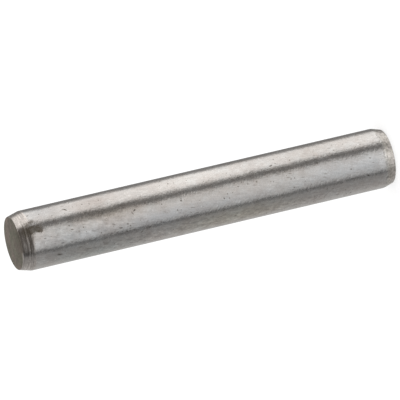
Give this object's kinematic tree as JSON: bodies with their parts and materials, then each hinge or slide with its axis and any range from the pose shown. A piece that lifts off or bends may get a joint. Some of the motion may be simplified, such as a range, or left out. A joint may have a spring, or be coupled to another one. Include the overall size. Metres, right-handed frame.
{
  "type": "connecting pin",
  "caption": "Solid cylindrical steel connecting pin with a ground shank, flat end faces and a shallow lead-in chamfer at each end.",
  "frame": {"origin": "centre of the bottom end face, which the pin stands on", "axes": "+Z along the pin's axis, from the bottom end face to the top end face; X and Y are any two radial directions"},
  "size_m": [0.01, 0.01, 0.0655],
  "materials": {
    "steel": "ground shank, turned chamfers and faced ends, with handling marks and a stain by the top chamfer"
  },
  "bodies": {
    "root": {"pin": "steel"}
  },
  "joints": []
}
